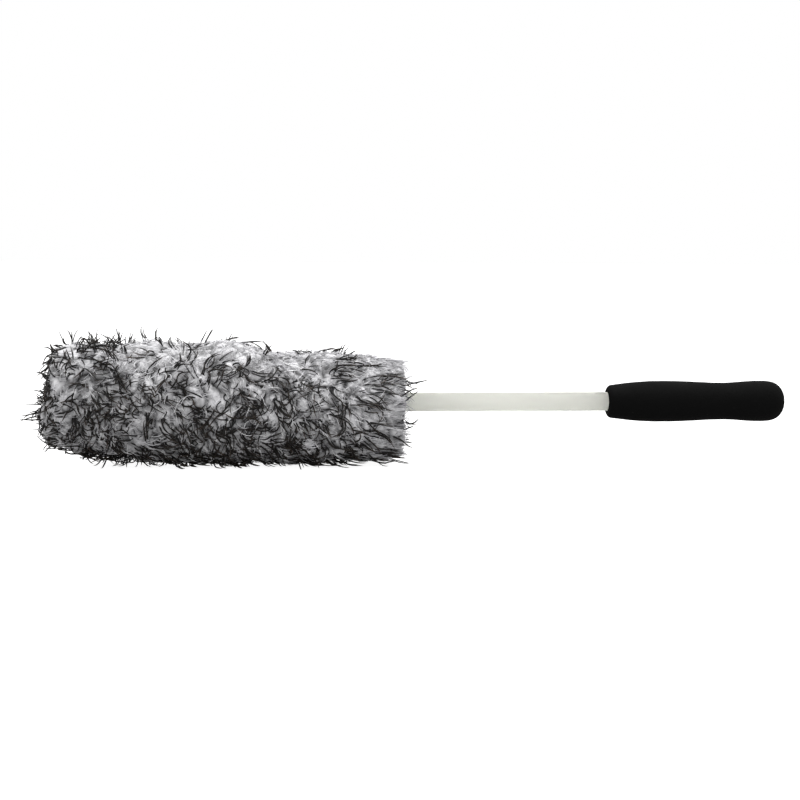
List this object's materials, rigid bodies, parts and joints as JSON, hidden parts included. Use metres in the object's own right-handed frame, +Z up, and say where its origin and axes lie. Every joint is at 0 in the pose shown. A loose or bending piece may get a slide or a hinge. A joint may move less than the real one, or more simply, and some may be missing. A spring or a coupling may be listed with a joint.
{
  "type": "wheel cleaning brush",
  "caption": "Plush wheel-cleaning brush: a removable fur sleeve on a foam core, carried on a straight nylon rod with a contoured foam grip.",
  "frame": {"origin": "on the surface that the head lies on, half way along the brush and below its axis", "axes": "+X along the rod from the head towards the grip, +Z up from the surface the head lies on"},
  "size_m": [0.476, 0.082, 0.081],
  "materials": {
    "nylon": "satin",
    "cap_rubber": "matte",
    "core_foam": "matte",
    "cushion_foam": "matte",
    "collar_plastic": "matte",
    "grip_foam": "matte",
    "lining_cloth": "matte",
    "knit_backing": "matte",
    "hem_tape": "matte",
    "elastic": "matte",
    "thread": "matte",
    "grey_pile": "matte",
    "black_pile": "matte"
  },
  "bodies": {
    "brush": {"rod": "nylon", "rod_tip_cap": "cap_rubber", "core_foam": "core_foam", "core_tip_cushion": "cushion_foam", "base_collar": "collar_plastic", "grip": "grip_foam"},
    "sleeve": {"sleeve_lining": "lining_cloth", "body_panel": "knit_backing", "tip_panel": "knit_backing", "hem_band": "hem_tape", "hem_elastic": "elastic", "side_seam_thread": "thread", "tip_seam_thread": "thread", "hem_stitching": "thread", "body_pile": "grey_pile", "tip_pile": "grey_pile"}
  },
  "joints": [
    {"name": "sleeve_slide", "type": "slide", "parent": "brush", "child": "sleeve", "axis": [-1, 0, 0], "range_m": [0, 0.22]}
  ]
}
